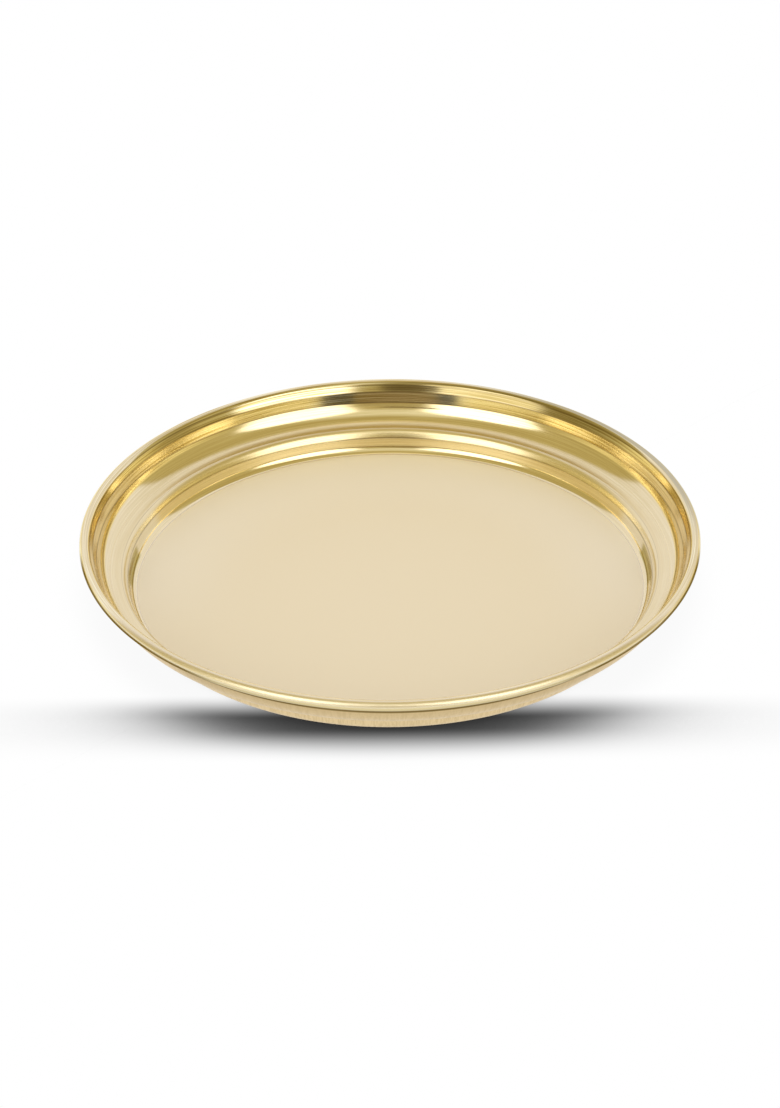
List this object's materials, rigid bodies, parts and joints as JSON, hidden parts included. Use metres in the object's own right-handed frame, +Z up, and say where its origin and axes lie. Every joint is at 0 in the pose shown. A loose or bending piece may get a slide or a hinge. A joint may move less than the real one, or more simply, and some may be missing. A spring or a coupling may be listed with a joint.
{
  "type": "thali plate",
  "caption": "Round stepped brass thali plate with a flat floor, a raised ledge, a coved wall and a rolled, wired rim.",
  "frame": {"origin": "centre of the flat base, on the table", "axes": "+Z up along the plate's axis; X and Y lie in the table plane and are alike, because the plate is round"},
  "size_m": [0.28, 0.28, 0.028],
  "materials": {
    "plate_brass": "polished, with fine buffing marks; satin on the outside",
    "wire_steel": "drawn wire"
  },
  "bodies": {
    "root": {"plate": "plate_brass", "rim_wire": "wire_steel"}
  },
  "joints": []
}
